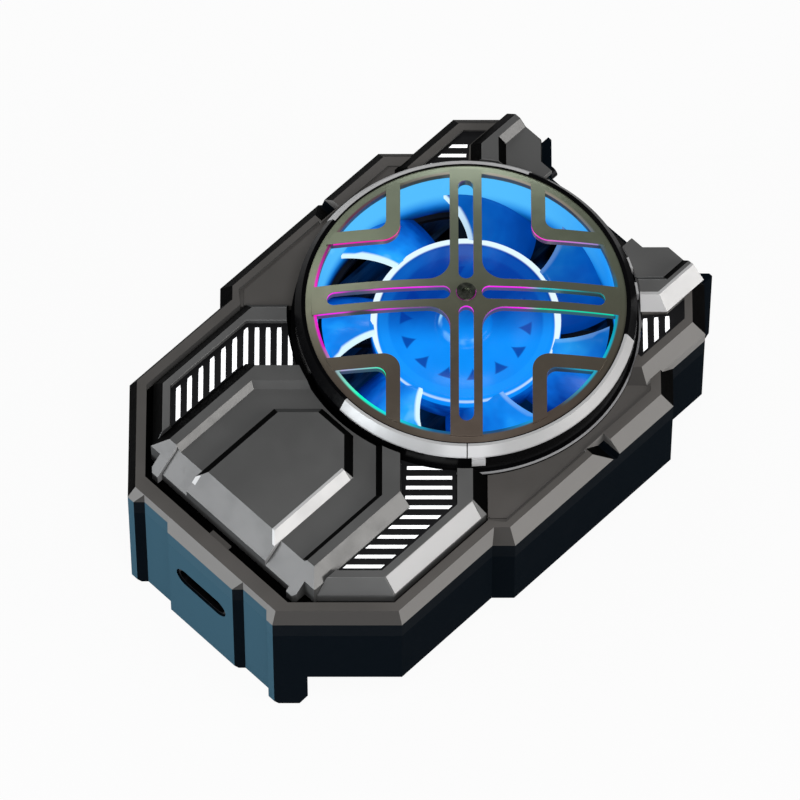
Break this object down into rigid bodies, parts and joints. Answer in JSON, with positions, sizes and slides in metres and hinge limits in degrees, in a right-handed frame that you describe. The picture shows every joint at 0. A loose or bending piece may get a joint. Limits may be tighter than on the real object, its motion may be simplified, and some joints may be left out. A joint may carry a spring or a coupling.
{
  "type": "phone cooling fan",
  "caption": "Clip-on phone cooler: bevelled dark housing, round lit fan under a domed cross grille, slotted vents, fixed jaw and sprung sliding jaw.",
  "frame": {"origin": "middle of the cold face that lies on the phone, on the fan axis", "axes": "+X from the socket end to the sliding jaw, +Y across the phone, +Z away from the phone"},
  "size_m": [0.0818, 0.056, 0.0325],
  "materials": {
    "top_shell": "satin, dark grey",
    "bottom_shell": "matte, near-black blue",
    "shield": "satin, dark grey",
    "frame_plastic": "satin, dark grey",
    "silver_paint": "silver paint",
    "vent_black": "matte black",
    "light_guide": "milky, lit from inside",
    "collar_black": "gloss black",
    "gunmetal": "satin gunmetal",
    "impeller_blue": "clear blue, lit from inside",
    "magnet": "plain",
    "steel": "plain",
    "bronze": "sintered",
    "stator_coat": "coated",
    "bare_aluminium": "plain",
    "black_aluminium": "black anodised",
    "ceramic": "white ceramic",
    "pad_grey": "soft",
    "board_green": "solder mask",
    "rubber_black": "matte"
  },
  "bodies": {
    "housing": {"upper_housing": "top_shell", "lower_housing": "bottom_shell", "shield_panel": "shield", "shield_cap": "shield", "cap_accent": "silver_paint", "vent_bezel_left": "frame_plastic", "vent_bezel_right": "frame_plastic", "bezel_accent": "silver_paint", "vent_grille_left": "vent_black", "vent_grille_right": "vent_black", "light_guide_left": "light_guide", "light_guide_right": "light_guide", "horn_left": "frame_plastic", "horn_right": "frame_plastic", "horn_accent": "silver_paint", "far_grille_left": "vent_black", "far_grille_right": "vent_black", "far_light_left": "light_guide", "far_light_right": "light_guide", "fan_collar": "collar_black", "collar_trim": "silver_paint", "collar_clips": "silver_paint", "fan_grille": "gunmetal", "grille_screw": "steel", "shaft_bearing": "bronze", "motor_stator": "stator_coat", "fan_frame": "vent_black", "led_ring": "light_guide", "heat_sink": "black_aluminium", "peltier_module": "ceramic", "cold_plate": "bare_aluminium", "contact_pad": "pad_grey", "clamp_screws": "steel", "circuit_board": "board_green", "usb_port": "steel", "board_screws": "steel", "fixed_jaw_pad": "rubber_black", "jaw_springs": "steel", "rod_bushes": "bronze", "housing_screws": "steel"},
    "rotor": {"impeller": "impeller_blue", "magnet_ring": "magnet", "fan_shaft": "steel"},
    "jaw": {"sliding_jaw": "bottom_shell", "sliding_jaw_pad": "rubber_black", "guide_rods": "steel"}
  },
  "joints": [
    {"name": "fan_spin", "type": "hinge", "parent": "housing", "child": "rotor", "pos_m": [0, 0, 0.0156], "axis": [0, 0, 1], "continuous": true},
    {"name": "jaw_slide", "type": "slide", "parent": "housing", "child": "jaw", "axis": [1, 0, 0], "range_m": [0, 0.02], "stiffness_N_per_m": 120, "springref_m": -0.03, "deforming": ["jaw_springs"]}
  ]
}
